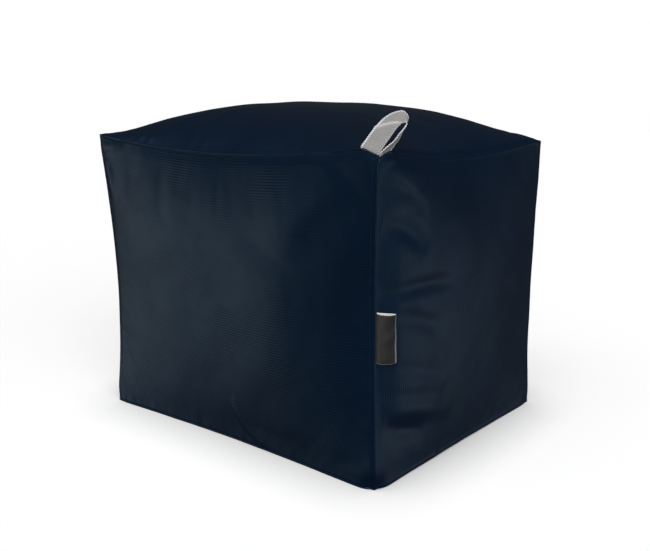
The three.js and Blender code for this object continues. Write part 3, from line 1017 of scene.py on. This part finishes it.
def label_material(name, colour, fold_at=None):
    """The label's tape. Where its fold's place is given, bands there and at its lower rim are paler."""
    nodes = Nodes(bpy.data.materials.new(name))
    place = nodes.add("UVMap", uv_map="label")
    split = nodes.add("SeparateXYZ", {0: place})
    along, up = split.outputs[0], split.outputs[1]
    ribs = nodes.stripes("SINE", up, LABEL_RIB)
    yarns = nodes.noise(nodes.add("Mapping", {0: place, 3: LABEL_YARN_SPOTS}), 1, 2)
    clouds = nodes.noise(place, LABEL_CLOUD_SPOTS, 3)
    # Painted shade in the ribs' troughs and painted light on their crests, then the yarns' and clouds'
    # uneven tone
    shade = nodes.ramp(ribs, -1, 1, *LABEL_RIB_SHADE)
    shade = nodes.math("MULTIPLY", shade, nodes.uneven(yarns, *LABEL_YARN_SHADE))
    shade = nodes.math("MULTIPLY", shade, nodes.uneven(clouds, *LABEL_YARN_SHADE))
    if fold_at:
        off = nodes.math("ABSOLUTE", nodes.math("SUBTRACT", along, fold_at * MM))
        band = nodes.ramp(off, FOLD_BAND * MM, (FOLD_BAND + FOLD_BAND_BLUR) * MM, 1, 0)
        rim = nodes.ramp(up, RIM_BAND * MM, (RIM_BAND + RIM_BAND_BLUR) * MM, 1, 0)
        colour = nodes.blend(nodes.math("MAXIMUM", band, rim), colour, LABEL_EDGE)
    return nodes.finished({
        "Base Color": nodes.shaded(colour, shade),
        "Normal": nodes.bump(yarns, LABEL_YARN_DEPTH, nodes.bump(ribs, LABEL_RIB_DEPTH)),
        "Roughness": 0.5,
        "Specular IOR Level": 0.4,
    })


def add_label():
    (outer, inner), flat = label_sheets()
    rows, columns = flat.shape[:2]
    count = rows * columns
    number = np.arange(count).reshape(rows, columns)
    quad = np.stack([number[:-1, :-1], number[:-1, 1:], number[1:, 1:], number[1:, :-1]], axis=-1)
    quad = quad.reshape(-1, 4)
    edge = np.concatenate([number[0, :], number[1:, -1], number[-1, -2::-1], number[-2:0:-1, 0]])
    after = np.roll(edge, -1)
    rim = np.stack([after, edge, edge + count, after + count], axis=-1)
    faces = np.vstack([quad, quad[:, ::-1] + count, rim]).tolist()
    points = np.concatenate([outer.reshape(-1, 3), inner.reshape(-1, 3)])
    fold_at = float(flat[0, np.argmax(outer[0, :, 1]), 0])
    obj = mesh_object("folded_label", points, faces, label_material("label_tape", LABEL_FRONT, fold_at))
    obj.data.materials.append(label_material("label_lining", LABEL_BACK))
    skin = [0] * len(quad) + [1] * len(quad) + [0] * len(rim)
    obj.data.polygons.foreach_set("material_index", skin)
    paint_uv(obj, "label", np.tile(flat.reshape(-1, 2), (2, 1)))
    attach(obj, "root")
    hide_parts("side_label")


# ---- stitches

STITCH_PITCH = 3.2
STITCH_LENGTH = 2.7
STITCH_RADIUS = 0.32
STITCH_SIDES = 6
STITCH_LIFT = 0.1
# Where along a stitch its sections are, and how thick it is at each
STITCH_SECTIONS = np.array([0, 0.15, 0.5, 0.85, 1])
STITCH_FATNESS = np.array([0.15, 0.85, 1, 0.85, 0.15])
# The seam's path takes one in so many of the cover's points
PATH_SKIP = 4

THREAD_DARK = (0.001, 0.007, 0.019, 1)
THREAD_LIGHT = (0.002, 0.011, 0.028, 1)
THREAD_SPOTS = 2500


def stitch_material():
    nodes = Nodes(bpy.data.materials.new("seam_thread"))
    strand = nodes.noise(nodes.add("TexCoord").outputs["Object"], THREAD_SPOTS, 1)
    return nodes.finished({
        "Base Color": nodes.blend(strand, THREAD_DARK, THREAD_LIGHT),
        "Roughness": 0.5,
        "Specular IOR Level": 0.25,
    })


def stitches_along(path, out):
    """Small rounded stitches end to end along a path, as an array of points for each."""
    along = lengths_along(path)
    reach = STITCH_FATNESS * STITCH_RADIUS
    angle = (np.arange(STITCH_SIDES) * 2 * math.pi / STITCH_SIDES)[:, None]
    stitches = []
    for start in np.arange(STITCH_PITCH, along[-1] - 2 * STITCH_PITCH, STITCH_PITCH):
        here = start + STITCH_SECTIONS * STITCH_LENGTH
        middle, up = (resampled(each, along, here) for each in (path, out))
        run = unit(middle[-1] - middle[0])
        side = unit(np.cross(run, up))
        ring = np.cos(angle) * side[:, None] + np.sin(angle) * up[:, None]
        stitches.append((middle[:, None] + ring * reach[:, None, None]).reshape(-1, 3))
    return stitches


def add_stitches(grid, quads, cover):
    """Topstitching along the lapped uprights of the front and back, half sunk in the cloth."""
    out = normals(cover, quads)
    column = NEAR_SEAM.index(LAP_WIDTH)
    stitches = []
    for name in ("front", "back"):
        numbers = grid.panels[name]
        for line in (numbers[column], numbers[-1 - column]):
            path, up = cover[line][::PATH_SKIP], out[line][::PATH_SKIP]
            stitches += stitches_along(path + up * STITCH_LIFT, up)
    shape = tube_faces(len(STITCH_SECTIONS), STITCH_SIDES)
    size = len(stitches[0])
    faces = [[first * size + k for k in face] for first in range(len(stitches)) for face in shape]
    obj = mesh_object("lap_stitches", np.vstack(stitches), faces, stitch_material())
    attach(obj, "root")


# ---- camera, floor, light

# The camera's place in metres, its turn and downward pitch in degrees, and its lens and sensor
CAMERA_AT = (0.8372, -1.0013, 0.48955)
CAMERA_TURN = 39.64
CAMERA_PITCH = 12.52
LENS = 49.0
SENSOR = 36


def add_camera():
    camera = bpy.data.objects.new("camera", bpy.data.cameras.new("camera"))
    camera.data.lens = LENS
    camera.data.sensor_width = SENSOR
    camera.location = CAMERA_AT
    camera.rotation_euler = (math.radians(90 - CAMERA_PITCH), 0, math.radians(CAMERA_TURN))
    bpy.context.scene.collection.objects.link(camera)
    bpy.context.scene.camera = camera


# Big soft lights, far off: the way to the middle as degrees from +X towards +Y and above the
# horizon, the spread in degrees, and the brightness. Those at the sides and back stand low, so that
# the cloth's upright panels mirror them, and the floor doesn't hide them.
SOFTBOXES = {
    "key": (330, 25, 25, 4.5),
    "overhead": (270, 60, 20, 3.8),
    "left": (215, -10, 14, 0.95),
    "right": (45, -15, 12, 0.57),
    "back": (120, -15, 20, 0.1),
}
AMBIENT = 0.03
WHITE = (1, 1, 1, 1)


def add_light():
    """The soft lights, in a world that looks plain white to the camera."""
    world = bpy.data.worlds.new("studio")
    bpy.context.scene.world = world
    nodes = Nodes(world)
    way = nodes.add("TexCoord").outputs["Generated"]
    light = AMBIENT
    for azimuth, elevation, spread, brightness in SOFTBOXES.values():
        turn, climb = math.radians(azimuth), math.radians(elevation)
        middle = (math.cos(turn) * math.cos(climb), math.sin(turn) * math.cos(climb), math.sin(climb))
        near = nodes.add("VectorMath", {0: way, 1: middle}, operation="DOT_PRODUCT").outputs["Value"]
        falloff = 1 / (1 - math.cos(math.radians(spread)))
        glow = nodes.math("EXPONENT", nodes.math("MULTIPLY_ADD", near, falloff, -falloff))
        light = nodes.math("MULTIPLY_ADD", glow, brightness, light)
    dim = nodes.add("Background", {"Color": WHITE, "Strength": light})
    bright = nodes.add("Background", {"Color": WHITE, "Strength": 1.0})
    seen = nodes.add("LightPath").outputs["Is Camera Ray"]
    mix = nodes.add("MixShader", {0: seen, 1: dim, 2: bright})
    nodes.feed(nodes.tree.nodes["World Output"].inputs[0], mix)


# The floor's half width in metres, its paleness, its glow, which stands in for light, and how near the pouf
# that glow is dimmed as a painted contact shadow
FLOOR_REACH = 8
FLOOR_PALE = 0.6
FLOOR_GLOW = 0.56
FLOOR_SHADE_REACH = 0.09


def add_floor():
    """A plain pale sheet whose glow stands in for light, dimmed close to the pouf as a painted contact
    shadow. Only the camera sees it, so it neither lights the pouf nor hides the low lights from it."""
    mesh = bpy.data.meshes.new("floor")
    corners = [(x * FLOOR_REACH, y * FLOOR_REACH, 0) for x, y in ((-1, -1), (1, -1), (1, 1), (-1, 1))]
    mesh.from_pydata(corners, [], [(0, 1, 2, 3)])
    floor = bpy.data.objects.new("floor", mesh)
    bpy.context.scene.collection.objects.link(floor)
    nodes = Nodes(bpy.data.materials.new("floor_paper"))
    mesh.materials.append(nodes.owner)
    nodes.tree.nodes.remove(nodes.shader)
    pale = nodes.add("BsdfDiffuse", {0: (FLOOR_PALE, FLOOR_PALE, FLOOR_PALE, 1)})
    # Ambient occlusion dims the glow near the pouf: a painted contact shadow
    uncovered = nodes.add("AmbientOcclusion", {"Distance": FLOOR_SHADE_REACH}).outputs["AO"]
    glow = nodes.add("Emission", {0: WHITE, 1: nodes.math("MULTIPLY", uncovered, FLOOR_GLOW)})
    both = nodes.add("AddShader", {0: pale, 1: glow})
    nodes.feed(nodes.tree.nodes["Material Output"].inputs[0], both)
    floor.visible_diffuse = False
    floor.visible_glossy = False
    floor.visible_shadow = False


add_camera()
add_floor()
add_light()
bpy.context.scene.view_settings.view_transform = "Standard"
cover = add_cover()
add_stitches(*cover)
add_loop()
add_label()
